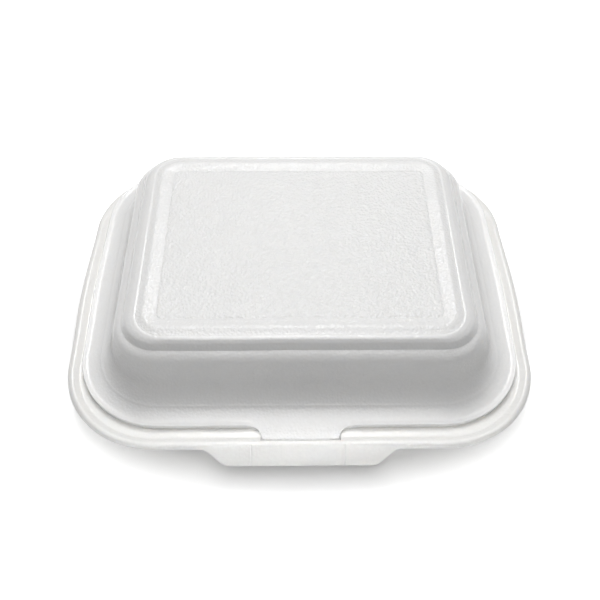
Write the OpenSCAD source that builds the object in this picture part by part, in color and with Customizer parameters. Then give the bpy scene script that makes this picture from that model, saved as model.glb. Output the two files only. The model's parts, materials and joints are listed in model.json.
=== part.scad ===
// Foam clamshell container: a shallow base tray and a domed lid, pressed from
// one sheet of foam and hinged along the back edge, with a tongue at the front
// that tucks into a slit behind the front flap.
// X is the width, the flap faces -Y, the hinge lies along the back, Z is up.
// Lengths are in millimetres.

/* [Sheet] */
// Thickness of the foam sheet
sheet = 2.4; // [1.8:0.1:2.8]

/* [Base rim] */
// Width across the outside of the rim
rim_w = 226; // [190:1:260]
// Depth across the outside of the rim
rim_d = 183; // [160:1:220]
// Corner radius of the rim's outside edge
rim_r = 46; // [40:1:56]
// Height of the rim's crest before it is rounded
rim_h = 20.8; // [18:0.2:36]
// How far the lip's outside face hangs down from the crest
lip_drop = 2.75; // [2.7:0.05:3.4]
// How far the lip's outside face leans outwards over that drop
lip_lean = 2.2; // [1.8:0.1:2.4]
// Radius of the lip's crest
lip_crest_r = 1.8; // [1:0.1:2]
// Width of the slope from the crest down to the seat
lip_slope_w = 3.8; // [3.4:0.1:4.4]
// Depth of the seat below the crest
seat_drop = 2.6; // [2.2:0.1:2.7]
// Radius at the foot of that slope
slope_foot_r = 2; // [1:0.1:3]
// Width of the flat seat, from the foot of the slope to the tub's mouth
seat_w = 12; // [10:0.5:14]
// How far the lip's crest runs down to the seat at each back corner
lip_fade = 24; // [12:1:30]
// Where the lip has run out, measured forwards from the back edge
lip_end = 22; // [20:1:30]

/* [Base tub] */
// How far the tub's wall leans in from the seat to the floor
tub_lean = 8; // [4:0.5:12]
// Radius of the tub's mouth
tub_mouth_r = 3; // [2.6:0.1:4]
// Inside radius where the tub's wall meets its floor
tub_floor_r = 8; // [3:0.5:10]

/* [Lid] */
// Gap from the rim's outside to the lid's edge, at the two sides
side_gap = 7; // [6.6:0.1:9]
// Gap from the rim's outside to the lid's edge, at the front
front_gap = 10.5; // [10:0.1:12]
// Corner radius of the lid's edge
lid_r = 40.5; // [38:0.5:48]
// Width of the flange, from its edge to the foot of the wall
flange_w = 13.4; // [13.2:0.1:15]
// How far the flange rises from its outer band to the foot of the wall
flange_rise = 2.3; // [1.4:0.1:2.6]
// Width of the flange's outer band, which turns up
edge_w = 2.6; // [2:0.1:3.4]
// How far the outer band turns up
edge_lift = 1.2; // [1:0.1:1.6]
// Radius of the hollow between the outer band and the rest of the flange
edge_r = 3; // [1:0.1:4]
// Radius of the hollow where the flange meets the wall
flare_r = 13; // [6:0.5:13.5]
// Height of the shoulder above the flange's lowest line
wall_h = 24.6; // [18:0.2:32]
// How far the wall leans in over that height
wall_lean = 5.2; // [4.4:0.1:7]
// Radius of the shoulder
shoulder_r = 7; // [5:0.1:9]
// Width of the sloping ledge between the shoulder and the raised top
ledge_w = 4.3; // [3.8:0.1:5.6]
// How far the ledge rises over that width
ledge_rise = 3.3; // [2.4:0.1:4]
// Radius of the line where the ledge meets the raised top
step_r = 0.6; // [0.3:0.1:0.7]
// Height of the raised top above the ledge
top_h = 6; // [5:0.1:8]
// How far the raised top's side leans in over that height
top_lean = 1.8; // [1:0.1:3]
// Radius of the raised top's edge
top_r = 6.4; // [4:0.1:6.8]
// Width of the textured panel in the top
panel_w = 132; // [90:1:150]
// Depth of the textured panel in the top
panel_d = 97.5; // [70:0.5:110]
// Corner radius of the panel
panel_r = 3; // [1.4:0.1:6]
// How far the panel lies below the top
panel_drop = 0.8; // [0.4:0.1:1.2]

/* [Hinge] */
// Length of the fold along the back edge
hinge_w = 128; // [90:1:134]

/* [Front lock] */
// Width of the lid's tongue
tongue_w = 34.6; // [28:0.2:36]
// Radius of the notch at each side of the tongue's root
notch_r = 5.2; // [3:0.1:7]
// How far the tongue falls between its root and its bend
tongue_fall = 2; // [1.4:0.1:2.1]
// How far the tongue reaches down from the lid's seat
tongue_drop = 10.4; // [6:0.2:11]
// Radius of the tongue's bend
tongue_bend_r = 1.6; // [1:0.1:2.4]
// Radius of the corners at the tongue's tip
tongue_tip_r = 4; // [1:0.1:5]
// Room for the tongue in its slit, at each end
slit_side_clear = 3; // [1:0.1:4]
// Room for the tongue in its slit, in front of it and behind it
slit_clear = 0.7; // [0.6:0.05:1]
// Thickness of foam between the slit and the crest's outside face
slit_wall = 4.2; // [3.8:0.1:4.6]
// Width of the flap where it leaves the lip
flap_top_w = 85.4; // [70:0.2:100]
// Width of the flap along its bottom edge
flap_bottom_w = 70; // [50:0.2:72]
// How far the flap hangs below the lip
flap_drop = 6.3; // [4.5:0.05:7]
// Radius of the flap's lower corners
flap_r = 5; // [2:0.1:6]
// Radius of the hollow where each end of the flap leaves the lip
flap_root_r = 6; // [2:0.1:8]
// Distance of each crease in the flap from the end of the slit
crease_gap = 1; // [0.5:0.1:3]
// Width of each crease
crease_w = 0.6; // [0.4:0.1:1]
// Depth of each crease
crease_depth = 0.3; // [0.2:0.05:0.5]

/* [Hidden] */

// Straight pieces that stand for each rounded corner of a section
corner_steps = 5;
// Facets round a full turn of a swept corner
turn_facets = 96;
// Directions in a section
inwards = [1, 0];
downwards = [0, -1];
// Extra length by which a cutting solid passes what it cuts
past = 20;
// Colour of the foam
foam = "#F3F2EE";

// Heights of the base
seat_z = rim_h - seat_drop;
lip_z = rim_h - lip_drop;
flap_z = lip_z - flap_drop;

// Distances in from the rim's outside edge
slope_foot = lip_lean + lip_slope_w;
mouth_in = slope_foot + seat_w;
hinge_in = lip_lean * (seat_z - lip_z) / lip_drop;

// Distances in from the lid's edge
shoulder_in = flange_w + wall_lean;
step_in = shoulder_in + ledge_w;
top_in = step_in + top_lean;

// Heights of the lid
flange_z = seat_z + sheet;
shoulder_z = flange_z + wall_h;
step_z = shoulder_z + ledge_rise;
top_z = step_z + top_h;

// Direction into the sheet from the lip's outside face
lip_inside = [lip_drop, -lip_lean];

// The flap leans as the lip does
flap_reach = lip_lean * flap_drop / lip_drop;
flap_t = sheet * sqrt(1 + pow(lip_lean / lip_drop, 2));

// Places along the depth, with the whole part centred on the origin
rim_front = (flap_reach + hinge_in - rim_d) / 2;
rim_back = rim_front + rim_d;
rim_mid = (rim_front + rim_back) / 2;
hinge_y = rim_back - hinge_in;
lid_front = rim_front + front_gap;
lid_d = hinge_y - lid_front;
lid_mid = (lid_front + hinge_y) / 2;
lid_w = rim_w - 2 * side_gap;

// The tongue and its slit
slit_front = rim_front + slit_wall;
tongue_front = slit_front + slit_clear;
slit_back = tongue_front + sheet + slit_clear;
slit_w = tongue_w + 2 * slit_side_clear;
tongue_tip_z = seat_z - tongue_drop;
crease_top = (lip_z + rim_h) / 2;
crease_bottom = flap_z - crease_w;

function flat(p) = [p[0], p[1]];
function unit(v) = v / norm(v);
function turned(v) = [v[1], -v[0]];

// Arc of radius r that rounds the corner p1 between p0 and p2
function fillet(p0, p1, p2, r) =
    let (u = unit(p0 - p1))
    let (v = unit(p2 - p1))
    let (half = acos(u * v) / 2)
    let (centre = p1 + unit(u + v) * r / sin(half))
    let (start = p1 + u * r / tan(half) - centre)
    let (side = sign(u[1] * v[0] - u[0] * v[1]))
    let (from = atan2(start[1], start[0]))
    let (sweep = side * (180 - 2 * half))
    [for (i = [0 : corner_steps])
        let (a = from + sweep * i / corner_steps)
        centre + r * [cos(a), sin(a)]];

// Path of [x, y, radius] corners turned into points, with round corners
function rounded(path) =
    let (last = len(path) - 1)
    [for (i = [0 : last])
        each (i == 0 || i == last || path[i][2] <= 0)
            ? [flat(path[i])]
            : fillet(flat(path[i - 1]), flat(path[i]), flat(path[i + 1]), path[i][2])];

// The path's other face: the same corners, moved to its right by the thickness t
function moved(path, t, start_dir, end_dir) =
    let (last = len(path) - 1)
    let (dirs = [for (i = [0 : last - 1]) unit(flat(path[i + 1]) - flat(path[i]))])
    let (normals = [for (d = dirs) turned(d)])
    [for (i = [0 : last])
        let (p = flat(path[i]))
        i == 0
            ? let (q = p + start_dir * t / (normals[0] * start_dir)) [q[0], q[1], 0]
            : i == last
                ? let (q = p + end_dir * t / (normals[last - 1] * end_dir)) [q[0], q[1], 0]
                : let (a = normals[i - 1])
                  let (b = normals[i])
                  let (q = p + t * (a + b) / (1 + a * b))
                  [q[0], q[1], max(0, path[i][2] - sign(dirs[i] * a) * t)]];

// Section of a sheet of thickness t that lies to the right of the path
function section(path, t, start_dir, end_dir) =
    let (other = rounded(moved(path, t, start_dir, end_dir)))
    concat(rounded(path), [for (i = [len(other) - 1 : -1 : 0]) other[i]]);

// Section carried round a rounded rectangle and closed by a flat plate in the middle.
// The section runs from the outside edge in to the corner's centre.
module pressed_shell(w, d, r, points, plate_z) {
    half_w = w / 2 - r;
    half_d = d / 2 - r;
    centres = [[half_w, half_d], [-half_w, half_d], [-half_w, -half_d], [half_w, -half_d]];
    outline = [for (p = points) [r - p[0], p[1]]];
    for (i = [0 : 3])
        translate(centres[i])
            rotate([0, 0, 90 * i])
                rotate_extrude(angle = 90, $fn = turn_facets)
                    polygon(outline);
    for (i = [0 : 3]) {
        run = i % 2 == 0 ? 2 * half_d : 2 * half_w;
        translate(centres[i])
            rotate([0, 0, 90 * i])
                rotate([90, 0, 0])
                    linear_extrude(run)
                        polygon(outline);
    }
    translate([-half_w, -half_d, plate_z - sheet])
        cube([2 * half_w, 2 * half_d, sheet]);
}

module rounded_rectangle(w, d, r) {
    half_w = w / 2;
    half_d = d / 2;
    corners = [[half_w, 0, 0], [half_w, half_d, r], [-half_w, half_d, r],
        [-half_w, -half_d, r], [half_w, -half_d, r], [half_w, 0, 0]];
    polygon(rounded(corners));
}

// Profile drawn in Y and Z, made w wide along X
module across(w) {
    translate([-w / 2, 0, 0])
        rotate([90, 0, 90])
            linear_extrude(w)
                children();
}

// Lip, crest, slope, seat, tub wall and floor of the base, as one sheet
module base_shell() {
    path = [
        [0, lip_z, 0],
        [lip_lean, rim_h, lip_crest_r],
        [slope_foot, seat_z, slope_foot_r],
        [mouth_in, seat_z, tub_mouth_r],
        [mouth_in + tub_lean, sheet, tub_floor_r],
        [rim_r, sheet, 0]];
    translate([0, rim_mid, 0])
        pressed_shell(rim_w, rim_d, rim_r, section(path, sheet, lip_inside, downwards), sheet);
}

// Flap that carries the lip's outside face on downwards, in the middle of the front
module flap() {
    half_top = flap_top_w / 2;
    half_bottom = flap_bottom_w / 2;
    half_root = half_top + flap_root_r;
    outline = [
        [half_root, lip_z, 0],
        [half_top, lip_z, flap_root_r],
        [half_bottom, flap_z, flap_r],
        [-half_bottom, flap_z, flap_r],
        [-half_top, lip_z, flap_root_r],
        [-half_root, lip_z, 0]];
    side = [
        [rim_front, lip_z],
        [rim_front + flap_t, lip_z],
        [rim_front + flap_t - flap_reach, flap_z],
        [rim_front - flap_reach, flap_z]];
    intersection() {
        translate([0, rim_front + past, 0])
            rotate([90, 0, 0])
                linear_extrude(2 * past)
                    polygon(rounded(outline));
        across(2 * half_root)
            polygon(side);
    }
}

// What is cut away so that the lip runs out towards the hinge
module lip_run_out() {
    fade_start = rim_back - lip_end - lip_fade;
    across(rim_w + past)
        polygon([
            [fade_start, rim_h],
            [rim_back - lip_end, seat_z],
            [rim_back + past, seat_z],
            [rim_back + past, rim_h + past],
            [fade_start, rim_h + past]]);
}

// What is cut away to leave a square edge along the hinge
module hinge_trim() {
    translate([-rim_w / 2, hinge_y, 0])
        cube([rim_w, past, rim_h + past]);
}

// Slit in the seat for the lid's tongue
module slit() {
    translate([-slit_w / 2, slit_front, lip_z - past / 2])
        cube([slit_w, slit_back - slit_front, past]);
}

// Two shallow upright creases in the flap's outside face, one beyond each end of the slit
module flap_creases() {
    lean = lip_lean / lip_drop;
    top = rim_front + lean * (crease_top - lip_z) + crease_depth;
    bottom = rim_front + lean * (crease_bottom - lip_z) + crease_depth;
    for (x = [-1, 1] * (slit_w / 2 + crease_gap))
        translate([x, 0, 0])
            across(crease_w)
                polygon([
                    [top - past, crease_top],
                    [top, crease_top],
                    [bottom, crease_bottom],
                    [bottom - past, crease_bottom]]);
}

module base() {
    color(foam)
        difference() {
            union() {
                base_shell();
                flap();
            }
            lip_run_out();
            hinge_trim();
            slit();
            flap_creases();
        }
}

// Flange, wall, shoulder, ledge and raised top of the lid, as one sheet
module lid_shell() {
    path = [
        [0, flange_z + edge_lift, 0],
        [edge_w, flange_z, edge_r],
        [flange_w, flange_z + flange_rise, flare_r],
        [shoulder_in, shoulder_z, shoulder_r],
        [step_in, step_z, step_r],
        [top_in, top_z, top_r],
        [lid_r, top_z, 0]];
    translate([0, lid_mid, 0])
        pressed_shell(lid_w, lid_d, lid_r, section(path, sheet, downwards, downwards), top_z);
}

// Panel pressed into the top: its block below the sheet, or the hollow above it
module panel_block(grow, z, h) {
    translate([0, lid_mid, z])
        linear_extrude(h)
            rounded_rectangle(panel_w + 2 * grow, panel_d + 2 * grow, panel_r + grow);
}

// Tongue that leaves the front of the flange and bends down into the slit
module tongue() {
    half_w = tongue_w / 2;
    root_w = half_w + notch_r;
    root_z = flange_z + edge_lift;
    side = [
        [tongue_front, tongue_tip_z, 0],
        [tongue_front, root_z - tongue_fall, tongue_bend_r],
        [lid_front, root_z, 0]];
    plan = [
        [root_w, lid_front, 0],
        [half_w, lid_front, notch_r],
        [half_w, rim_front, 0],
        [-half_w, rim_front, 0],
        [-half_w, lid_front, notch_r],
        [-root_w, lid_front, 0]];
    face = [
        [root_w, root_z + past, 0],
        [root_w, seat_z, 0],
        [half_w, seat_z, 0],
        [half_w, tongue_tip_z, tongue_tip_r],
        [-half_w, tongue_tip_z, tongue_tip_r],
        [-half_w, seat_z, 0],
        [-root_w, seat_z, 0],
        [-root_w, root_z + past, 0]];
    intersection() {
        across(2 * root_w)
            polygon(section(side, sheet, inwards, downwards));
        linear_extrude(root_z + past)
            polygon(rounded(plan));
        translate([0, lid_front + past, 0])
            rotate([90, 0, 0])
                linear_extrude(2 * past)
                    polygon(rounded(face));
    }
}

// Foot of the flange's back edge, which comes down to the fold
module hinge_foot() {
    foot_front = hinge_y - edge_w;
    across(hinge_w)
        polygon([
            [foot_front, seat_z],
            [hinge_y, seat_z],
            [hinge_y, seat_z + edge_lift + sheet / 2],
            [foot_front, seat_z + sheet / 2]]);
}

module lid() {
    color(foam)
        difference() {
            union() {
                lid_shell();
                panel_block(sheet, top_z - sheet - panel_drop, sheet);
                hinge_foot();
                tongue();
            }
            panel_block(0, top_z - panel_drop, past);
        }
}

base();
lid();
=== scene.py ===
"""A closed foam clamshell container on a pale floor.

Two pressed foam halves stand for the two CAD solids, and a thin fold joins them along the back.
The shape functions work in millimetres, and the meshes are in metres.
"""

import json
import math

import bmesh
import bpy
import numpy as np
from mathutils import Matrix


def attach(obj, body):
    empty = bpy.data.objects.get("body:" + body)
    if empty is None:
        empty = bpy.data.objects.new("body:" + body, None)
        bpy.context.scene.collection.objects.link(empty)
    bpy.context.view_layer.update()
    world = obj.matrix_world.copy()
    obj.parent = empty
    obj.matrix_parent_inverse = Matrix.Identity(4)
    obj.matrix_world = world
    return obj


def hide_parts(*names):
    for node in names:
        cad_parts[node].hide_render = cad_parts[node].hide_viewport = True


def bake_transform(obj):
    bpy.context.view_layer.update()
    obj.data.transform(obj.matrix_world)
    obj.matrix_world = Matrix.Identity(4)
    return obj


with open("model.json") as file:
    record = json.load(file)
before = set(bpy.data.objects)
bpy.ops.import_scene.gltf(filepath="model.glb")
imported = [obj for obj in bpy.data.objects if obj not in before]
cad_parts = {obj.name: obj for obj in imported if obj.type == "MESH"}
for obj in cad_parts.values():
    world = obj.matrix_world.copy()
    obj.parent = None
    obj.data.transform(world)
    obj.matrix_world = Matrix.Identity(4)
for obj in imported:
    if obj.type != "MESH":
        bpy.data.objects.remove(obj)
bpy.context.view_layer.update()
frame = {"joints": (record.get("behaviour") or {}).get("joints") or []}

# Units, and limits for the meshes
METRE = 0.001
DIGITS = 4
FAR_AWAY = 1e3
MERGE_DISTANCE = 2e-6
LEAST_EDGE = 1e-7
SHARP_ANGLE = 42.0

# The foam sheet
SHEET = 2.4
EDGE_RADIUS = 0.8
EDGE_SHARES = np.array([0.06, 0.24, 0.55, 1.0])
LEAST_FOLD = 0.3
LEAST_RADIUS = 2.0

# The foam's slow unevenness: waves that cross, slanting waves and steeper ones
CROSS_HEIGHT = 0.10
CROSS_LENGTHS = (17.0, 23.0)
CROSS_STARTS = (0.6, 1.1)
SLANT_HEIGHT = 0.07
SLANT_LENGTH = 13.0
SLANT_START = 2.0
STEEP_HEIGHT = 0.05
STEEP_LENGTH = 9.0
STEEP_SLANT = 1.6

# Steps round the rim and round the lid's edge
CORNER_STEPS = 22
SIDE_STEPS = 16
BACK_STEPS = 24

# The fold along the back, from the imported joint
_, HINGE_Y, SEAT_Z = (value / METRE for value in frame["joints"][0]["pos_m"])
HINGE_WIDTH = 128.0
FOLD_BULGE = 0.5
FOLD_HEIGHT = 1.5
FOLD_ROOT = 0.6
FOLD_ROOT_SHARE = 0.7
FOLD_TAPER = 3.0
FOLD_END_SHARE = 0.35
FOLD_STEPS = 64
FOLD_ARC_STEPS = 16

# The base: rim, lip, seat and tub
RIM_WIDTH = 226.0
RIM_DEPTH = 183.0
RIM_RADIUS = 46.0
RIM_BOW = 1.5
RIM_BACK = HINGE_Y + 0.12
RIM_MIDDLE = RIM_BACK - RIM_DEPTH / 2
CREST_Z = SEAT_Z + 2.6
LIP_DROP = 2.75
LIP_LEAN = 2.2
CREST_RADIUS = 1.8
SLOPE_FOOT = 6.0
SLOPE_RADIUS = 2.0
MOUTH = 18.0
MOUTH_RADIUS = 3.0
TUB_LEAN = 8.0
TUB_RADIUS = 8.0
LIP_END = 22.0
LIP_FADE = 24.0
BASE_SAG = 0.5
BASE_SAG_RISE = 12.0
BASE_SAG_BACK = 12.0
BASE_SAG_FADE = 20.0

# Fineness of the base
BASE_SPACING = 0.7
BASE_ARC_STEPS = 8
BASE_FRONT_STEPS = 120
LEAST_COLUMN = 0.1
TUB_RINGS = 8
FACE_SLACK = 1e-6
ROW_SLACK = 1e-2
COLUMN_SLACK = 1e-3

# The front flap, its creases and the slit behind it
FLAP_LENGTH = 8.1
FLAP_NARROW = 33.0
FLAP_WIDE = 45.5
SLIT_HALF = 18.2
SLIT_FRONT = 3.85
SLIT_BACK = 7.7
CREASE_X = 21.3
CREASE_SHIFT = -1.2
CREASE_DEPTH = 0.45
CREASE_SPREAD = 0.22
CREASE_REACH = 0.6
CREASE_OVER = 0.6
CREASE_COLUMNS = 9

# The lid: flange, wall, shoulder and ledge
LID_WIDTH = 212.0
LID_DEPTH = 172.38
LID_RADIUS = 40.5
LID_BOW = 0.8
LID_BACK = HINGE_Y
LID_FRONT = LID_BACK - LID_DEPTH
LID_MIDDLE = LID_BACK - LID_DEPTH / 2
FLANGE_Z = SEAT_Z + SHEET
FLANGE_WIDTH = 13.4
FLANGE_RISE = 2.3
EDGE_WIDTH = 2.6
EDGE_LIFT = 1.2
HOLLOW_RADIUS = 3.0
FLARE_RADIUS = 15.0
RIDGE_IN = 9.4
RIDGE_HEIGHT = 0.16
RIDGE_SPREAD = 0.45
SHOULDER_IN = 19.4
SHOULDER_Z = FLANGE_Z + 25.9
SHOULDER_RADIUS = 7.0
STEP_IN = 23.3
STEP_Z = SHOULDER_Z + 2.0
STEP_RADIUS = 0.6
BACK_START = 6.0
BACK_FADE = 5.0
FRONT_BAND = 1.0
LID_SAG_SHIFT = 40.0
LID_SAG_START = 4.0
LID_SAG_RISE = 14.0

# Fineness of the lid
LID_SPACING = 1.6
LID_ARC_STEPS = 9
LID_FRONT_STEPS = 21
RIDGE_REACH = 2.4
RIDGE_ROWS = 9
BEAD_STEPS = 33
PANEL_EDGE_SHARES = np.array([0.03, 0.07, 0.12, 0.18, 0.26])
PANEL_RINGS = 15

# The raised top: its edge, the bead round the panel and the panel
TOP_Z = STEP_Z + 6.0
TERRACE_Z = TOP_Z - 0.7
TOP_SIDE_IN = 24.4
TOP_SIDE_Z = TERRACE_Z - 1.7
TOP_SIDE_RADIUS = 3.0
TERRACE_IN = 26.2
TERRACE_LIFT = 0.25
TERRACE_RADIUS = 2.2
TERRACE_END = 27.8
SIDE_DRAW = 3.0
BEAD_HEIGHT = 0.8
BEAD_PLACE = 5.6
BEAD_INNER = 3.0
BEAD_OUTER = 2.2
BEAD_FADE = 1.5
BEAD_GRAIN = 0.4
GROOVE_DEPTH = 0.25
GROOVE_SPREAD = 0.7
PANEL_HALF_WIDTH = 66.0
PANEL_HALF_DEPTH = 48.75
PANEL_RADIUS = 3.0
PANEL_GRAIN_START = 0.95
PANEL_GRAIN_FADE = 0.12

# The tongue at the lid's front
TONGUE_HALF = 17.3
NOTCH_RADIUS = 5.8
TONGUE_REACH = 6.5
TONGUE_TIP_Z = SEAT_Z - 10.4
TONGUE_LEAN = 0.6
TONGUE_BEND = 1.4
TONGUE_SLOPE = 0.213
TONGUE_BLEND_IN = 3.6
TONGUE_ROOT_Z = FLANGE_Z + TONGUE_SLOPE * (TONGUE_BLEND_IN - EDGE_WIDTH) - TONGUE_SLOPE * TONGUE_BLEND_IN
TONGUE_FLAT_Z = TONGUE_ROOT_Z - 0.59
TONGUE_FLAT_FROM = 3.0
SEAT_CLEAR = 0.12
SLIT_MARGIN = 0.3
TONGUE_BLEND_X = 19.0
TONGUE_BLEND_WIDTH = 9.0
TONGUE_TIP_RADIUS = 4.0
TONGUE_EASE = 4.0
TONGUE_BRIM = 1.0
TONGUE_GRAIN = 0.4

# Fineness of the tongue, and where its outline meets the lid's edge
TONGUE_SPACING = 0.6
TONGUE_ARC_STEPS = 10
TONGUE_STEPS = 15
TONGUE_EVEN_SHARE = 0.9
TONGUE_LAST_SHARES = [0.94, 0.97, 0.99, 1.0]
NOTCH_STEPS = 9
TIP_STEPS = 6
STRAIGHT_STEPS = 8
NOTCH_ALONG = 3.4
SIDE_ALONG = 13.2
TIP_ALONG = 11.6

# The foam's skin
CELL_SCALE = 800.0
CELL_SMOOTHNESS = 0.55
FINE_SCALE = 2100.0
FINE_DETAIL = 2.0
FINE_SHARE = 0.45
SLOW_SCALE = 110.0
SLOW_DETAIL = 3.0
SLOW_SHARE = 0.6
GRAIN_LEAST = 0.3
GRAIN_MOST = 1.1
GLOSS_LEAST = 0.11
GLOSS_MOST = 0.23
BUMP_DISTANCE = 0.00035
GLOW_THROUGH = 0.25
GLOW_COLOURS = (0.85, 0.9, 1.0)
GLOW_DEPTH = 0.003
# Painted light: the base's two whites are lighter and warmer than the lid's, though base and lid are one
# foam sheet. The difference stands in for the light and warm bounce on the seat, rim and flap. Within each
# part, the cells mix the two whites as the foam's own random tone.
BASE_PALE_PAINTED_LIGHTER = (0.95, 0.943, 0.922)
BASE_DIM_PAINTED_LIGHTER = (0.92, 0.912, 0.888)
LID_LIGHT = (0.93, 0.929, 0.925)
LID_SHADE = (0.9, 0.898, 0.893)

# The floor, with the glow that the camera sees at each distance from the middle, in metres. The glow is
# painted light that lifts the floor to white. It is weaker near the object, which paints a darker, tighter
# shadow round the rim
WHITE = (1.0, 1.0, 1.0, 1.0)
FLOOR_HALF = 3.0
FLOOR_STEPS = 24
FLOOR_COLOUR = (0.92, 0.92, 0.92, 1.0)
FLOOR_GLOW_WITH_PAINTED_SHADOW = ((0.086, 0.1), (0.128, 0.75), (0.4, 0.75), (0.8, 1.0))

# The lamps
TOP_POWER = 4.6
KEY_POWER = 4.3
FRONT_POWER = 0.0185
STRIP_SPREAD = 5.0
LAMP_UP = (0.0, 1.0, 1e-4)

# The camera, fitted to the photo
CAMERA_ELEVATION = 52.0
CAMERA_YAW = 0.93
CAMERA_ROLL = -0.49
CAMERA_AIM = np.array([0.55, -7.07, 0.0])
CAMERA_DISTANCE = 397.8
AIM_ABOVE_SEAT = 1.97
SENSOR_WIDTH = 36.0
FOCAL_LENGTH = 46.02
NEAR_LIMIT = 0.01


def smooth_step(t):
    """0 below 0, 1 above 1, and 3t squared minus 2t cubed between."""
    t = np.clip(t, 0.0, 1.0)
    return t * t * (3.0 - 2.0 * t)


def unit(vector):
    """The vector divided by its length."""
    return vector / np.linalg.norm(vector)


def turned(vector, angles):
    """The plane vector turned left by each angle, one row for each."""
    c, s = np.cos(angles), np.sin(angles)
    return np.stack([c * vector[0] - s * vector[1], s * vector[0] + c * vector[1]], axis=1)


def stacked(x, y, z):
    """One array of points from three arrays."""
    return np.stack([x, y, z], axis=-1)


def sag(x, y):
    """Slow unevenness of pressed foam: a few long sine waves that cross each other."""
    cross_x = np.sin(x / CROSS_LENGTHS[0] + CROSS_STARTS[0])
    cross_y = np.sin(y / CROSS_LENGTHS[1] + CROSS_STARTS[1])
    slant = np.sin((x + y) / SLANT_LENGTH + SLANT_START)
    steep = np.sin((x - STEEP_SLANT * y) / STEEP_LENGTH)
    return CROSS_HEIGHT * cross_x * cross_y + SLANT_HEIGHT * slant + STEEP_HEIGHT * steep


def rounded_path(spots, radii, counts, arc_steps):
    """Points along a path with rounded corners, with a count of steps for each straight run.

    The path turns on an arc that starts and ends radius times the tangent of half the turn from its corner.
    """
    points = [spots[:1]]
    leave = spots[0]
    for before, spot, after, radius, count in zip(spots, spots[1:], spots[2:], radii[1:], counts):
        go_in, go_out = unit(spot - before), unit(after - spot)
        turn = math.atan2(go_in[0] * go_out[1] - go_in[1] * go_out[0], float(go_in @ go_out))
        arrive = spot - go_in * radius * math.tan(abs(turn) / 2)
        arm = math.copysign(radius, turn) * np.array([go_in[1], -go_in[0]])
        points.append(np.linspace(leave, arrive, count + 1)[1:-1])
        points.append(arrive - arm + turned(arm, np.linspace(0.0, turn, arc_steps + 1)))
        leave = points[-1][-1]
    points.append(np.linspace(leave, spots[-1], counts[-1] + 1)[1:])
    return np.concatenate(points)


def pressed_sheet(corners, start_way, spacing, arc_steps):
    """The upper and the lower side of a sheet's section, with their points opposite each other.

    A corner is (inset, height, radius). The lower side's corners lie where the upper side's straight runs
    would meet if they moved right by the sheet's thickness, and its arcs are tighter or wider by it.
    """
    spots = np.array([corner[:2] for corner in corners])
    radii = [corner[2] for corner in corners]
    ways = [unit(after - before) for before, after in zip(spots, spots[1:])]
    rights = [np.array([way[1], -way[0]]) for way in ways]
    lower = [spots[0] + SHEET * start_way / (rights[0] @ start_way)]
    lower_radii = [0.0]
    for spot, radius, way, before, after in zip(spots[1:], radii[1:], ways[1:], rights, rights[1:]):
        lower.append(spot + SHEET * (before + after) / (1.0 + before @ after))
        lower_radii.append(radius + SHEET if way @ before < 0.0 else max(radius - SHEET, LEAST_FOLD))
    lower.append(spots[-1] + SHEET * rights[-1])
    counts = [max(2, math.ceil(np.linalg.norm(run) / spacing)) for run in np.diff(spots, axis=0)]
    upper = rounded_path(spots, radii, counts, arc_steps)
    return upper, rounded_path(np.array(lower), lower_radii + [0.0], counts, arc_steps)


def run_along(points):
    """Distance along a path, at each of its points."""
    return np.append(0.0, np.cumsum(np.linalg.norm(np.diff(points, axis=0), axis=1)))


def with_rows(upper, lower, places):
    """Both sides with a row added at each place, which is a row number with a fraction."""
    rows = np.arange(len(upper))
    where = np.unique(np.concatenate([rows, places]).round(DIGITS))
    sides = (upper, lower)
    return [np.stack([np.interp(where, rows, line) for line in side.T], axis=1) for side in sides]


def edge_places(upper):
    """Rows that a sheet's rounded edge needs, near the path's start."""
    return np.interp(EDGE_RADIUS * EDGE_SHARES, run_along(upper), np.arange(len(upper)))


def rounded_rail(front_x, half_run):
    """Stations round a rounded rectangle, anticlockwise from the front's left end.

    Each station is (share of the corner centre in x, the same in y, outward direction x, the same in y).
    Straight runs move the share from -1 to 1, and corners turn the direction by a quarter.
    """
    quarter = np.linspace(0.0, math.pi / 2, CORNER_STEPS + 1)[1:]
    side = np.linspace(-1.0, 1.0, SIDE_STEPS + 1)[1:]
    back = np.linspace(1.0, -1.0, BACK_STEPS + 1)[1:]
    one = np.ones_like

    def corner(share_x, share_y, start):
        turn = start + quarter
        return [share_x * one(turn), share_y * one(turn), np.cos(turn), np.sin(turn)]

    front = np.asarray(front_x) / half_run
    runs = [
        [front, -one(front), 0 * front, -one(front)],
        corner(1.0, -1.0, -math.pi / 2),
        [one(side), side, one(side), 0 * side],
        corner(1.0, 1.0, 0.0),
        [back, one(back), 0 * back, one(back)],
        corner(-1.0, 1.0, math.pi / 2),
        [-one(side), -side, -one(side), 0 * side],
        corner(-1.0, -1.0, math.pi),
    ]
    rail = np.concatenate([np.array(run) for run in runs], axis=1)
    return rail[:, :-1]


def rings(rail, half_width, half_depth, radius, middle):
    """Rounded rectangles on a rail: share times the corner centre, plus direction times the radius."""
    share_x, share_y, out_x, out_y = rail
    x = share_x * (half_width - radius) + out_x * radius
    y = middle + share_y * (half_depth - radius) + out_y * radius
    return x, y


def inset_rings(rail, size, corner_radius, middle, inset, bow, bow_end, draw=0.0):
    """Rings set in from an outline by an inset for each point, whose corners shrink by it too.

    The left and right sides bow out by a smooth hump along them, which fades to nothing at an inset of
    bow_end, and draw sets those sides in further.
    """
    radius = np.maximum(corner_radius - inset, LEAST_RADIUS)
    x, y = rings(rail, size[0] / 2 - inset - draw, size[1] / 2 - inset, radius, middle)
    hump = rail[2] * (1.0 - rail[1] ** 2) ** 2
    return x + bow * hump * np.clip(1.0 - inset / bow_end, 0.0, 1.0), y


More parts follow.
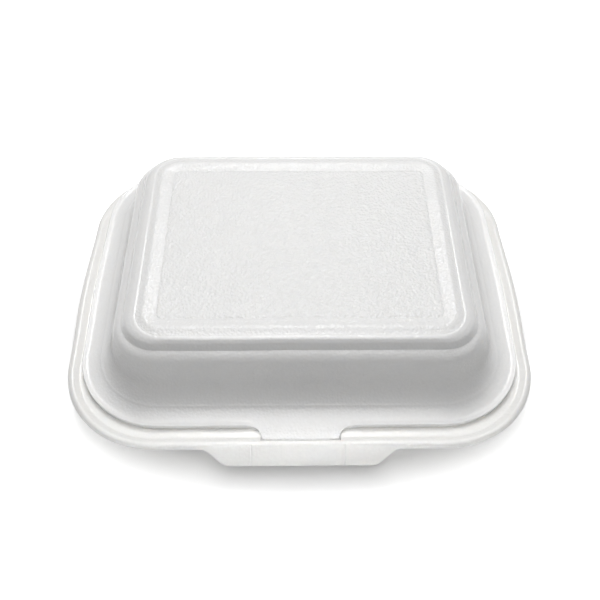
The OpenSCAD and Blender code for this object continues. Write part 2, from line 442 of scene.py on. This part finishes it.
def ring_quads(index):
    """Quads between neighbouring rings of an index grid that closes on itself along each ring."""
    here, there = index, np.roll(index, -1, axis=1)
    return np.stack([here[:-1], there[:-1], there[1:], here[1:]], axis=2)


def strip_quads(low, high):
    """Quads between two rows of the same length."""
    return np.stack([low[:-1], low[1:], high[1:], high[:-1]], axis=1)


def patch_quads(index):
    """Quads of an index grid that is open on all sides."""
    return np.stack([index[:-1, :-1], index[1:, :-1], index[1:, 1:], index[:-1, 1:]], axis=2).reshape(-1, 4)


def round_edge(upper, lower, distance):
    """Rounds a sheet's edge: near it, both sides move towards the middle along a quarter circle.

    At a distance d from the edge, they move by r minus the root of r squared minus (r - d) squared.
    """
    near = np.maximum(EDGE_RADIUS - distance, 0.0)
    move = EDGE_RADIUS - np.sqrt(np.maximum(EDGE_RADIUS**2 - near**2, 0.0))
    step = (lower - upper) * (move / SHEET)[..., None]
    return upper + step, lower - step


def new_object(name, data):
    """A new object in the scene, made of the given data."""
    made = bpy.data.objects.new(name, data)
    bpy.context.scene.collection.objects.link(made)
    return made


def foam_mesh(name, points, faces, panel=None):
    """A closed mesh from points in millimetres: doubles merged, normals outwards, sharp at hard turns."""
    mesh = bpy.data.meshes.new(name)
    mesh.from_pydata((points * METRE).tolist(), [], faces)
    if panel is not None:
        mesh.attributes.new("panel", "FLOAT", "POINT").data.foreach_set("value", panel.astype(np.float32))
    work = bmesh.new()
    work.from_mesh(mesh)
    bmesh.ops.remove_doubles(work, verts=work.verts, dist=MERGE_DISTANCE)
    bmesh.ops.dissolve_degenerate(work, edges=work.edges, dist=LEAST_EDGE)
    bmesh.ops.recalc_face_normals(work, faces=work.faces)
    work.to_mesh(mesh)
    work.free()
    mesh.shade_smooth()
    mesh.set_sharp_from_angle(angle=math.radians(SHARP_ANGLE))
    return new_object(name, mesh)


def make_base():
    """The base: the rim's section carried round the rim, with the front lip drawn down into the flap.

    The flap stretches the lip's outside face by a smooth step of x. The slit leaves out the quads between
    two insets, and walls join the two sides of the sheet there. Towards the back, the lip's height above
    the seat shrinks by a smooth step of y.
    """
    outside = [
        (0.0, CREST_Z - LIP_DROP, 0.0),
        (LIP_LEAN, CREST_Z, CREST_RADIUS),
        (SLOPE_FOOT, SEAT_Z, SLOPE_RADIUS),
        (MOUTH, SEAT_Z, MOUTH_RADIUS),
        (MOUTH + TUB_LEAN, SHEET, TUB_RADIUS),
        (MOUTH + TUB_LEAN + 2 * TUB_RADIUS, SHEET, 0.0),
    ]
    face_way = unit(np.array([LIP_LEAN, LIP_DROP]))
    edge_way = np.array([LIP_DROP, -LIP_LEAN])
    upper_path, lower_path = pressed_sheet(outside, edge_way, BASE_SPACING, BASE_ARC_STEPS)
    slit_places = np.interp([SLIT_FRONT, SLIT_BACK], upper_path[:, 0], np.arange(len(upper_path)))
    places = np.concatenate([slit_places, edge_places(upper_path)])
    upper_path, lower_path = with_rows(upper_path, lower_path, places)
    distance = run_along(upper_path)
    on_face = np.abs((upper_path - upper_path[0]) @ [-face_way[1], face_way[0]]) < FACE_SLACK
    face_length = distance[on_face].max()
    hang = np.clip((face_length - distance) / (face_length - EDGE_RADIUS), 0.0, 1.0)

    half_run = RIM_WIDTH / 2 - RIM_RADIUS
    even = np.linspace(-half_run, half_run, BASE_FRONT_STEPS + 1)
    crease = CREASE_X + np.linspace(-CREASE_REACH, CREASE_REACH, CREASE_COLUMNS)
    marks = np.concatenate([crease + CREASE_SHIFT, -crease + CREASE_SHIFT, [SLIT_HALF, -SLIT_HALF]])
    columns = np.unique(np.concatenate([even, marks]).round(DIGITS))
    columns = columns[np.append(True, np.diff(columns) > LEAST_COLUMN)]
    rail = rounded_rail(columns, half_run)
    front_x = np.where(np.arange(rail.shape[1]) < len(columns), rail[0] * half_run, FAR_AWAY)
    drop = FLAP_LENGTH * (1.0 - smooth_step((np.abs(front_x) - FLAP_NARROW) / (FLAP_WIDE - FLAP_NARROW)))
    groove = CREASE_DEPTH * np.exp(-(((np.abs(front_x - CREASE_SHIFT) - CREASE_X) / CREASE_SPREAD) ** 2))
    creased = (distance < face_length + CREASE_OVER)[:, None] * groove

    def side(path, depth, pressed):
        inset = path[:, :1] - face_way[0] * hang[:, None] * drop + face_way[1] * pressed
        height = path[:, 1:] - face_way[1] * hang[:, None] * drop - face_way[0] * pressed
        x, y = inset_rings(rail, (RIM_WIDTH, RIM_DEPTH), RIM_RADIUS, RIM_MIDDLE, inset, RIM_BOW, MOUTH)
        level = SEAT_Z - depth
        keep = 1.0 - smooth_step((y - (RIM_BACK - LIP_END - LIP_FADE)) / LIP_FADE)
        height = np.where(height > level, level + (height - level) * keep, height)
        off_floor = smooth_step((height - SHEET) / BASE_SAG_RISE)
        off_back = smooth_step((HINGE_Y - y - BASE_SAG_BACK) / BASE_SAG_FADE)
        wave = BASE_SAG * sag(x, y) * off_floor * off_back
        return stacked(x, np.minimum(y, HINGE_Y), height + wave)

    upper, lower = side(upper_path, 0.0, creased), side(lower_path, SHEET, 0.0)
    upper, lower = round_edge(upper, lower, distance[:, None])
    spread = np.linspace(1.0, 0.0, TUB_RINGS + 1)[1:-1, None, None]
    middle = np.array([0.0, RIM_MIDDLE, 0.0])
    flat = np.array([1.0, 1.0, 0.0])
    upper = np.concatenate([upper, (upper[-1] - middle) * (flat * spread) + middle + [0, 0, SHEET]])
    lower = np.concatenate([lower, (lower[-1] - middle) * (flat * spread) + middle])

    rows, count = upper.shape[:2]
    top = np.arange(rows * count).reshape(rows, count)
    under = top + rows * count
    inset_now = np.append(upper_path[:, 0], np.full(rows - len(upper_path), FAR_AWAY))
    row_in = (inset_now[:-1] > SLIT_FRONT - ROW_SLACK) & (inset_now[1:] < SLIT_BACK + ROW_SLACK)
    at_slit = np.abs(front_x) < SLIT_HALF + COLUMN_SLACK
    column_in = at_slit & np.roll(at_slit, -1)
    kept = ~(row_in[:, None] & column_in[None, :])
    slit_rows = np.flatnonzero(row_in)
    slit_rows = np.append(slit_rows, slit_rows[-1] + 1)
    slit_columns = np.flatnonzero(column_in)
    slit_columns = np.append(slit_columns, slit_columns[-1] + 1)
    loops = [
        (slit_rows[0], slit_columns),
        (slit_rows[-1], slit_columns),
        (slit_rows, slit_columns[0]),
        (slit_rows, slit_columns[-1]),
    ]
    walls = np.concatenate([strip_quads(under[loop], top[loop]) for loop in loops])
    edge = strip_quads(np.append(under[0], under[0, 0]), np.append(top[0], top[0, 0]))
    quads = np.concatenate([ring_quads(top)[kept], ring_quads(under)[kept][:, ::-1], walls, edge])
    faces = quads.tolist() + [top[-1].tolist(), under[-1, ::-1].tolist()]
    return foam_mesh("base_foam", np.concatenate([upper.reshape(-1, 3), lower.reshape(-1, 3)]), faces)


def tongue_slope(inset):
    """Height of the flange's front edge in the middle, where it slopes on down towards the tongue."""
    return TONGUE_ROOT_Z + TONGUE_SLOPE * inset


def tongue_path():
    """Distance along the tongue from the lid's edge, and the two sides of its section there."""
    corners = [
        (0.0, tongue_slope(0.0), 0.0),
        (TONGUE_FLAT_FROM, TONGUE_FLAT_Z, TONGUE_BEND),
        (TONGUE_REACH, TONGUE_FLAT_Z, TONGUE_BEND),
        (TONGUE_REACH - TONGUE_LEAN, TONGUE_TIP_Z, 0.0),
    ]
    upper, lower = pressed_sheet(corners, np.array([0.0, -1.0]), TONGUE_SPACING, TONGUE_ARC_STEPS)
    return run_along(upper), upper, lower


def tongue_outline():
    """The tongue's outline: x along the lid's edge, x on the outline and distance out from the edge.

    A notch arc leads from the edge into the side, and a smaller arc rounds the tip.
    """
    length = tongue_path()[0][-1]
    notch = np.linspace(0.0, math.pi / 2, NOTCH_STEPS + 1)
    tip = np.linspace(0.0, math.pi / 2, TIP_STEPS + 1)[1:]
    root = TONGUE_HALF + NOTCH_RADIUS
    straight = np.linspace(NOTCH_RADIUS, length - TONGUE_TIP_RADIUS, STRAIGHT_STEPS + 1)[1:]
    end = np.linspace(TONGUE_HALF - TONGUE_TIP_RADIUS, 0.0, STRAIGHT_STEPS + 1)[1:]
    across = np.concatenate([
        root - NOTCH_RADIUS * np.sin(notch),
        np.full_like(straight, TONGUE_HALF),
        TONGUE_HALF - TONGUE_TIP_RADIUS * (1.0 - np.cos(tip)),
        end,
    ])
    out = np.concatenate([
        NOTCH_RADIUS * (1.0 - np.cos(notch)),
        straight,
        length - TONGUE_TIP_RADIUS * (1.0 - np.sin(tip)),
        np.full_like(end, length),
    ])
    along = np.concatenate([
        np.linspace(root, root - NOTCH_ALONG, len(notch)),
        np.linspace(root - NOTCH_ALONG, SIDE_ALONG, len(straight) + 1)[1:],
        np.linspace(SIDE_ALONG, TIP_ALONG, len(tip) + 1)[1:],
        np.linspace(TIP_ALONG, 0.0, len(end) + 1)[1:],
    ])
    halves = ((-1, along), (-1, across), (1, out))
    return [np.concatenate([sign * half, half[-2::-1]]) for sign, half in halves]


def tongue_patch(outline, edges):
    """The tongue's upper and lower side, from the lid's edge outwards.

    Each point lies a share of the way from the edge to the tongue's outline, and its distance out follows
    the tongue's bent path. The difference in height from the lid's own edge eases away, and over the seat
    the tongue stays just clear of it.
    """
    along, across, out = outline
    run, upper_line, lower_line = tongue_path()
    even = np.linspace(0.0, TONGUE_EVEN_SHARE, TONGUE_STEPS + 1)
    share = np.concatenate([even, TONGUE_LAST_SHARES])[:, None]
    far = share * out
    x = along + (across - along) * share
    ease = 1.0 - smooth_step(far / TONGUE_EASE)
    sides = []
    for line, edge in zip((upper_line, lower_line), edges):
        forward = np.interp(far, run, line[:, 0])
        rise = np.interp(far, run, line[:, 1]) + (edge[:, 2] - line[0, 1]) * ease
        over_seat = LID_FRONT - forward > RIM_BACK - RIM_DEPTH + SLIT_BACK - SLIT_MARGIN
        rise = np.where(over_seat, np.maximum(rise, SEAT_Z + SEAT_CLEAR), rise)
        sides.append(stacked(x, LID_FRONT - forward, rise))
    to_brim = (1.0 - share) * (out + TONGUE_BRIM)
    to_brim[:, [0, -1]] = 0.0
    return round_edge(sides[0], sides[1], to_brim)


def lid_top(rail):
    """The raised top from the section's last ring inwards: its points, and the grain of each ring.

    The rings pass from the lid's outline to the panel's. Their height is a bead, which is a bell curve over
    the distance to the panel, less a narrow groove at the panel's border. Inside that, they shrink to the
    middle.
    """
    share = np.concatenate([np.linspace(0.0, 1.0, BEAD_STEPS + 1)[1:], 1.0 + PANEL_EDGE_SHARES])
    start_half = np.array([LID_WIDTH / 2 - TERRACE_END - SIDE_DRAW, LID_DEPTH / 2 - TERRACE_END])
    start_radius = LID_RADIUS - TERRACE_END
    panel_half = np.array([PANEL_HALF_WIDTH, PANEL_HALF_DEPTH])
    half = start_half + (panel_half - start_half) * share[:, None]
    radius = np.maximum(start_radius + (PANEL_RADIUS - start_radius) * share, LEAST_RADIUS)
    x, y = rings(rail, half[:, :1], half[:, 1:], radius[:, None], LID_MIDDLE)
    run = start_half - panel_half
    from_panel = (1.0 - share)[:, None] * (run[0] * rail[2] ** 2 + run[1] * rail[3] ** 2)
    spread = np.where(from_panel < BEAD_PLACE, BEAD_INNER, BEAD_OUTER)
    bead = BEAD_HEIGHT * np.exp(-(((from_panel - BEAD_PLACE) / spread) ** 2))
    bead = bead * smooth_step((from_panel[0] / (1.0 - share[0]) - from_panel) / BEAD_FADE)
    groove = GROOVE_DEPTH * np.exp(-((from_panel / GROOVE_SPREAD) ** 2))
    border = stacked(x, y, TERRACE_Z + bead - groove + sag(x, y + LID_SAG_SHIFT))
    shrink = np.linspace(1.0, 0.0, PANEL_RINGS + 1)[1:-1, None, None]
    centre = np.array([0.0, LID_MIDDLE])
    x, y = np.moveaxis((border[-1, :, :2] - centre) * shrink + centre, -1, 0)
    panel = stacked(x, y, TERRACE_Z + sag(x, y + LID_SAG_SHIFT))
    on_panel = np.append(smooth_step((share - PANEL_GRAIN_START) / PANEL_GRAIN_FADE), np.ones(len(panel)))
    return np.concatenate([border, panel]), BEAD_GRAIN + (1.0 - BEAD_GRAIN) * on_panel


def make_lid():
    """The lid: the flange, wall and shoulder as one section carried round the lid's edge, and the top.

    Along the back the edge's lift fades away, and in the middle of the front it slopes down to the tongue.
    The tongue is a patch that shares the edge's points.
    """
    outside = [
        (0.0, FLANGE_Z + EDGE_LIFT, 0.0),
        (EDGE_WIDTH, FLANGE_Z, HOLLOW_RADIUS),
        (FLANGE_WIDTH, FLANGE_Z + FLANGE_RISE, FLARE_RADIUS),
        (SHOULDER_IN, SHOULDER_Z, SHOULDER_RADIUS),
        (STEP_IN, STEP_Z, STEP_RADIUS),
        (TOP_SIDE_IN, TOP_SIDE_Z, TOP_SIDE_RADIUS),
        (TERRACE_IN, TERRACE_Z + TERRACE_LIFT, TERRACE_RADIUS),
        (TERRACE_END, TERRACE_Z, 0.0),
    ]
    upper_path, lower_path = pressed_sheet(outside, np.array([0.0, -1.0]), LID_SPACING, LID_ARC_STEPS)
    ridge = RIDGE_IN + RIDGE_SPREAD * np.linspace(-RIDGE_REACH, RIDGE_REACH, RIDGE_ROWS)
    ridge_places = np.interp(ridge, upper_path[:, 0], np.arange(len(upper_path)))
    places = np.concatenate([ridge_places, edge_places(upper_path)])
    upper_path, lower_path = with_rows(upper_path, lower_path, places)
    upper_path[:, 1] += RIDGE_HEIGHT * np.exp(-(((upper_path[:, 0] - RIDGE_IN) / RIDGE_SPREAD) ** 2))
    distance = run_along(upper_path)

    outline = tongue_outline()
    along = outline[0]
    half_run = LID_WIDTH / 2 - LID_RADIUS
    left = np.linspace(-half_run, -along[-1], LID_FRONT_STEPS + 1)[:-1]
    rail = rounded_rail(np.concatenate([left, along, -left[::-1]]), half_run)
    count = rail.shape[1]
    zone = np.arange(len(left), len(left) + len(along))
    edge_x, edge_y = rings(rail, LID_WIDTH / 2, LID_DEPTH / 2, LID_RADIUS, LID_MIDDLE)
    at_back = smooth_step((edge_y - LID_BACK + BACK_START) / BACK_FADE)
    at_tongue = 1.0 - smooth_step((np.abs(edge_x) - TONGUE_BLEND_X) / TONGUE_BLEND_WIDTH)
    at_tongue = at_tongue * (edge_y < LID_FRONT + FRONT_BAND)
    inset, height = upper_path.T
    lowest = np.argmin(height[: len(height) // 2])
    lift = np.where(np.arange(len(height)) < lowest, height - height[lowest], 0.0)
    smoothed = np.where(inset < TONGUE_BLEND_IN, tongue_slope(inset) - height, 0.0)
    shift = smoothed[:, None] * at_tongue - lift[:, None] * at_back
    draw = SIDE_DRAW * np.clip((inset - STEP_IN) / (TERRACE_IN - STEP_IN), 0.0, 1.0)[:, None]

    def side(path):
        size = (LID_WIDTH, LID_DEPTH)
        x, y = inset_rings(rail, size, LID_RADIUS, LID_MIDDLE, path[:, :1], LID_BOW, SHOULDER_IN, draw)
        z = np.maximum(path[:, 1:] + shift, SEAT_Z + SEAT_CLEAR)
        wave = sag(x, y + LID_SAG_SHIFT) * smooth_step((z - FLANGE_Z - LID_SAG_START) / LID_SAG_RISE)
        return stacked(x, y, z + wave)

    upper, lower = side(upper_path), side(lower_path)
    tongue_up, tongue_low = tongue_patch(outline, (upper[0, zone], lower[0, zone]))
    in_zone = np.zeros(count)
    in_zone[zone[1:-1]] = EDGE_RADIUS
    upper, lower = round_edge(upper, lower, np.maximum(distance[:, None], in_zone))
    tongue_up[0], tongue_low[0] = upper[0, zone], lower[0, zone]
    raised, raised_grain = lid_top(rail)
    upper_all = np.concatenate([upper, raised])
    lower_all = np.concatenate([lower, raised - np.array([0.0, 0.0, SHEET])])

    rows = len(upper_all)
    top = np.arange(rows * count).reshape(rows, count)
    under = top + rows * count
    tip_top = 2 * rows * count + np.arange(tongue_up[..., 0].size).reshape(tongue_up.shape[:2])
    tip_under = tip_top + tip_top.size
    edge = strip_quads(np.append(under[0], under[0, 0]), np.append(top[0], top[0, 0]))
    edge = edge[np.isin(np.arange(count), zone[:-1], invert=True)]
    quads = np.concatenate([
        ring_quads(top).reshape(-1, 4),
        ring_quads(under).reshape(-1, 4)[:, ::-1],
        edge,
        patch_quads(tip_top),
        patch_quads(tip_under)[:, ::-1],
        strip_quads(tip_under[-1], tip_top[-1]),
    ])
    faces = quads.tolist() + [top[-1].tolist(), under[-1, ::-1].tolist()]
    clouds = [upper_all, lower_all, tongue_up, tongue_low]
    grain = np.zeros(2 * rows * count + 2 * tip_top.size)
    grain[top[len(upper):]] = raised_grain[:, None]
    grain[tip_top] = TONGUE_GRAIN
    return foam_mesh("lid_foam", np.concatenate([cloud.reshape(-1, 3) for cloud in clouds]), faces, grain)


def make_fold():
    """The fold: a thin bead along the back, half an ellipse outside the hinge line and flat inside it."""
    x = np.linspace(-HINGE_WIDTH / 2, HINGE_WIDTH / 2, FOLD_STEPS + 1)
    turn = np.linspace(-math.pi / 2, math.pi / 2, FOLD_ARC_STEPS + 1)
    root_height = FOLD_HEIGHT * FOLD_ROOT_SHARE
    y = np.concatenate([FOLD_BULGE * np.cos(turn), [-FOLD_ROOT, -FOLD_ROOT]]) + HINGE_Y
    z = np.concatenate([FOLD_HEIGHT * np.sin(turn), [root_height, -root_height]]) + SEAT_Z
    taper = np.minimum(1.0, (HINGE_WIDTH / 2 - np.abs(x)) / FOLD_TAPER + FOLD_END_SHARE)[:, None]
    grid = stacked(
        np.tile(x[:, None], (1, len(y))),
        HINGE_Y + (y - HINGE_Y) * taper,
        SEAT_Z + (z - SEAT_Z) * taper,
    )
    index = np.arange(grid[..., 0].size).reshape(grid.shape[:2])
    faces = ring_quads(index).reshape(-1, 4).tolist() + [index[0].tolist(), index[-1, ::-1].tolist()]
    return foam_mesh("hinge_fold", grid.reshape(-1, 3), faces)


def empty_tree(owner):
    """The node tree of a material or a world, with nothing in it."""
    owner.use_nodes = True
    owner.node_tree.nodes.clear()
    return owner.node_tree


def wire(tree, out, into):
    """Links two sockets."""
    tree.links.new(out, into)


def node_with(tree, kind, **settings):
    """A new node with its settings made."""
    made = tree.nodes.new(kind)
    for name, value in settings.items():
        setattr(made, name, value)
    return made


def sum_of(tree, first, second, factor):
    """A socket that gives first times factor, plus second."""
    made = node_with(tree, "ShaderNodeMath", operation="MULTIPLY_ADD")
    wire(tree, first, made.inputs[0])
    made.inputs[1].default_value = factor
    wire(tree, second, made.inputs[2])
    return made.outputs[0]


def seen_rays(tree):
    """A socket that is 1 for rays from the camera, a gloss or a clear thing, and 0 for other rays."""
    rays = node_with(tree, "ShaderNodeLightPath")
    seen = rays.outputs["Is Camera Ray"]
    for kind in ("Is Glossy Ray", "Is Transmission Ray"):
        either = node_with(tree, "ShaderNodeMath", operation="MAXIMUM")
        wire(tree, seen, either.inputs[0])
        wire(tree, rays.outputs[kind], either.inputs[1])
        seen = either.outputs[0]
    return seen


def foam_cells_group():
    """The skin of pressed foam: small flattened cells, finer grain and slow unevenness.

    Height is the three added up, Gloss is a roughness and Tone a faint lightness, all over the surface.
    """
    group = bpy.data.node_groups.new("foam cells", "ShaderNodeTree")
    for name, kind in (("Place", "NodeSocketVector"), ("Grain", "NodeSocketFloat")):
        group.interface.new_socket(name, in_out="INPUT", socket_type=kind)
    for name in ("Height", "Gloss", "Tone"):
        group.interface.new_socket(name, in_out="OUTPUT", socket_type="NodeSocketFloat")
    enter = node_with(group, "NodeGroupInput")
    leave = node_with(group, "NodeGroupOutput")

    cells = node_with(group, "ShaderNodeTexVoronoi", feature="SMOOTH_F1")
    cells.inputs["Scale"].default_value = CELL_SCALE
    cells.inputs["Smoothness"].default_value = CELL_SMOOTHNESS
    fine = node_with(group, "ShaderNodeTexNoise")
    fine.inputs["Scale"].default_value = FINE_SCALE
    fine.inputs["Detail"].default_value = FINE_DETAIL
    slow = node_with(group, "ShaderNodeTexNoise")
    slow.inputs["Scale"].default_value = SLOW_SCALE
    slow.inputs["Detail"].default_value = SLOW_DETAIL
    for texture in (cells, fine, slow):
        wire(group, enter.outputs["Place"], texture.inputs["Vector"])

    strength = node_with(group, "ShaderNodeMapRange")
    strength.inputs["To Min"].default_value = GRAIN_LEAST
    strength.inputs["To Max"].default_value = GRAIN_MOST
    wire(group, enter.outputs["Grain"], strength.inputs["Value"])
    grain = sum_of(group, fine.outputs["Fac"], cells.outputs["Distance"], FINE_SHARE)
    raised = node_with(group, "ShaderNodeMath", operation="MULTIPLY")
    wire(group, grain, raised.inputs[0])
    wire(group, strength.outputs["Result"], raised.inputs[1])
    wire(group, sum_of(group, slow.outputs["Fac"], raised.outputs[0], SLOW_SHARE), leave.inputs["Height"])

    gloss = node_with(group, "ShaderNodeMapRange")
    gloss.inputs["To Min"].default_value = GLOSS_LEAST
    gloss.inputs["To Max"].default_value = GLOSS_MOST
    wire(group, slow.outputs["Fac"], gloss.inputs["Value"])
    wire(group, gloss.outputs["Result"], leave.inputs["Gloss"])
    wire(group, cells.outputs["Distance"], leave.inputs["Tone"])
    return group


def foam_material(name, cells, light, shade, panel_grain):
    """White foam: two close whites mixed by the cells, gloss from the skin, and a bump from its height."""
    material = bpy.data.materials.new(name)
    tree = empty_tree(material)
    leave = node_with(tree, "ShaderNodeOutputMaterial")
    skin = node_with(tree, "ShaderNodeBsdfPrincipled")
    place = node_with(tree, "ShaderNodeTexCoord")
    group = node_with(tree, "ShaderNodeGroup", node_tree=cells)
    wire(tree, place.outputs["Object"], group.inputs["Place"])
    if panel_grain:
        mask = node_with(tree, "ShaderNodeAttribute", attribute_name="panel")
        wire(tree, mask.outputs["Fac"], group.inputs["Grain"])
    mix = node_with(tree, "ShaderNodeMix", data_type="RGBA")
    mix.inputs["A"].default_value = (*light, 1.0)
    mix.inputs["B"].default_value = (*shade, 1.0)
    wire(tree, group.outputs["Tone"], mix.inputs["Factor"])
    wire(tree, mix.outputs["Result"], skin.inputs["Base Color"])
    wire(tree, group.outputs["Gloss"], skin.inputs["Roughness"])
    bump = node_with(tree, "ShaderNodeBump")
    bump.inputs["Strength"].default_value = 1.0
    bump.inputs["Distance"].default_value = BUMP_DISTANCE
    wire(tree, group.outputs["Height"], bump.inputs["Height"])
    wire(tree, bump.outputs["Normal"], skin.inputs["Normal"])
    skin.inputs["Subsurface Weight"].default_value = GLOW_THROUGH
    skin.inputs["Subsurface Radius"].default_value = GLOW_COLOURS
    skin.inputs["Subsurface Scale"].default_value = GLOW_DEPTH
    wire(tree, skin.outputs["BSDF"], leave.inputs["Surface"])
    return material


def floor_material():
    """A pale matte floor, with a glow that only seen rays get, weaker near the object and stronger far out.
    The glow is painted light, and its weaker part near the object paints a darker shadow round the rim.

    The distance from the middle is measured with x squeezed, so that the glow follows the rim's shape.
    """
    material = bpy.data.materials.new("pale floor")
    tree = empty_tree(material)
    leave = node_with(tree, "ShaderNodeOutputMaterial")
    ground = node_with(tree, "ShaderNodeBsdfDiffuse")
    ground.inputs["Color"].default_value = FLOOR_COLOUR
    place = node_with(tree, "ShaderNodeTexCoord")
    squeeze = node_with(tree, "ShaderNodeVectorMath", operation="MULTIPLY")
    squeeze.inputs[1].default_value = (RIM_DEPTH / RIM_WIDTH, 1.0, 0.0)
    wire(tree, place.outputs["Object"], squeeze.inputs[0])
    away = node_with(tree, "ShaderNodeVectorMath", operation="LENGTH")
    wire(tree, squeeze.outputs["Vector"], away.inputs[0])
    # Painted shadow: this ramp gives the glow little strength near the object and more far out, so the
    # floor round the rim stays darker.
    level = node_with(tree, "ShaderNodeValToRGB")
    steps = level.color_ramp.elements
    level.color_ramp.interpolation = "EASE"
    for spot, _ in FLOOR_GLOW_WITH_PAINTED_SHADOW[1:-1]:
        steps.new(spot)
    for step, (spot, lift) in zip(steps, FLOOR_GLOW_WITH_PAINTED_SHADOW):
        step.position = spot
        step.color = (lift, lift, lift, 1.0)
    wire(tree, away.outputs["Value"], level.inputs["Fac"])
    glow = node_with(tree, "ShaderNodeEmission")
    wire(tree, level.outputs["Color"], glow.inputs["Color"])
    glow.inputs["Strength"].default_value = 1.0
    dark = node_with(tree, "ShaderNodeEmission")
    dark.inputs["Strength"].default_value = 0.0
    mix = node_with(tree, "ShaderNodeMixShader")
    wire(tree, seen_rays(tree), mix.inputs["Fac"])
    wire(tree, dark.outputs["Emission"], mix.inputs[1])
    wire(tree, glow.outputs["Emission"], mix.inputs[2])
    both = node_with(tree, "ShaderNodeAddShader")
    wire(tree, ground.outputs["BSDF"], both.inputs[0])
    wire(tree, mix.outputs["Shader"], both.inputs[1])
    wire(tree, both.outputs["Shader"], leave.inputs["Surface"])
    return material


def pale_floor():
    """A wide flat grid at table level, which the camera sees as white apart from the object's shadow. The
    lamps cast that shadow, and the floor's weaker glow near the object paints it darker and tighter.
    """
    steps = np.linspace(-FLOOR_HALF, FLOOR_HALF, FLOOR_STEPS + 1)
    x, y = np.meshgrid(steps, steps, indexing="ij")
    index = np.arange(x.size).reshape(x.shape)
    mesh = bpy.data.meshes.new("floor")
    points = stacked(x, y, 0.0 * x).reshape(-1, 3)
    mesh.from_pydata(points.tolist(), [], patch_quads(index)[:, ::-1].tolist())
    floor = new_object("floor", mesh)
    mesh.materials.append(floor_material())


def placed_at(axes, place):
    """A matrix with three axes as its columns, at a place."""
    return Matrix([[*row, spot] for row, spot in zip(axes, place)] + [[0, 0, 0, 1]])


def soft_box(name, place, aim, size, power, spread=180.0):
    """An area lamp at a place, turned towards its aim, whose light fans out by the spread in degrees."""
    lamp = bpy.data.lights.new(name, "AREA")
    lamp.shape = "RECTANGLE"
    lamp.size, lamp.size_y = size
    lamp.energy = power
    lamp.spread = math.radians(spread)
    back = unit(np.array(place) - np.array(aim))
    right = unit(np.cross(LAMP_UP, back))
    box = new_object(name, lamp)
    box.matrix_world = placed_at(np.stack([right, np.cross(back, right), back], axis=1), place)
    box.visible_camera = False


def set_world():
    """A world that gives the object no light, and is white where the camera or a reflection sees it."""
    world = bpy.data.worlds.new("studio")
    bpy.context.scene.world = world
    tree = empty_tree(world)
    leave = node_with(tree, "ShaderNodeOutputWorld")
    dark = node_with(tree, "ShaderNodeBackground")
    dark.inputs["Color"].default_value = WHITE
    dark.inputs["Strength"].default_value = 0.0
    white = node_with(tree, "ShaderNodeBackground")
    white.inputs["Color"].default_value = WHITE
    white.inputs["Strength"].default_value = 1.0
    mix = node_with(tree, "ShaderNodeMixShader")
    wire(tree, seen_rays(tree), mix.inputs["Fac"])
    wire(tree, dark.outputs["Background"], mix.inputs[1])
    wire(tree, white.outputs["Background"], mix.inputs[2])
    wire(tree, mix.outputs["Shader"], leave.inputs["Surface"])


def set_camera():
    """The camera: a distance back from its aim along the view, then turned and rolled a little."""
    elevation, yaw, roll = np.radians([CAMERA_ELEVATION, CAMERA_YAW, CAMERA_ROLL])
    look = np.array([0.0, math.cos(elevation), -math.sin(elevation)])
    up = np.array([0.0, math.sin(elevation), math.cos(elevation)])
    right = np.array([1.0, 0.0, 0.0])
    swing = np.array([
        [math.cos(yaw), math.sin(yaw), 0.0],
        [-math.sin(yaw), math.cos(yaw), 0.0],
        [0.0, 0.0, 1.0],
    ])
    rolled_right = math.cos(roll) * right - math.sin(roll) * up
    rolled_up = math.sin(roll) * right + math.cos(roll) * up
    middle = np.array([0.0, RIM_MIDDLE, SEAT_Z + AIM_ABOVE_SEAT])
    place = swing @ (CAMERA_AIM - CAMERA_DISTANCE * look) + middle
    lens = bpy.data.cameras.new("camera")
    lens.sensor_width = SENSOR_WIDTH
    lens.lens = FOCAL_LENGTH
    lens.clip_start = NEAR_LIMIT
    camera = new_object("camera", lens)
    axes = swing @ np.stack([rolled_right, rolled_up, -look], axis=1)
    camera.matrix_world = placed_at(axes, place * METRE)
    bpy.context.scene.camera = camera


bpy.context.scene.view_settings.view_transform = "Standard"
set_camera()
set_world()
pale_floor()
soft_box("top box", place=(0.0, -0.1, 0.95), aim=(0.0, 0.0, 0.0), size=(0.55, 0.8), power=TOP_POWER)
soft_box("key box", place=(0.0, 0.5, 0.9), aim=(0.0, 0.0, 0.03), size=(0.4, 0.36), power=KEY_POWER)
soft_box(
    "front strip",
    place=(0.0, -0.251, 0.068),
    aim=(0.0, -0.088, -0.008),
    size=(0.34, 0.06),
    power=FRONT_POWER,
    spread=STRIP_SPREAD,
)

cells = foam_cells_group()
base = make_base()
lid = make_lid()
fold = make_fold()
# The base's skin is painted lighter and warmer than the lid's, for the light on the seat and rim. The fold
# shares it.
base_skin_painted_lighter = foam_material("base foam skin painted lighter", cells, BASE_PALE_PAINTED_LIGHTER, BASE_DIM_PAINTED_LIGHTER, False)
lid_skin = foam_material("lid foam skin", cells, LID_LIGHT, LID_SHADE, True)
base.data.materials.append(base_skin_painted_lighter)
lid.data.materials.append(lid_skin)
fold.data.materials.append(base_skin_painted_lighter)

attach(base, "base")
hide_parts("base")
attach(lid, "lid")
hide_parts("lid")
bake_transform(fold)
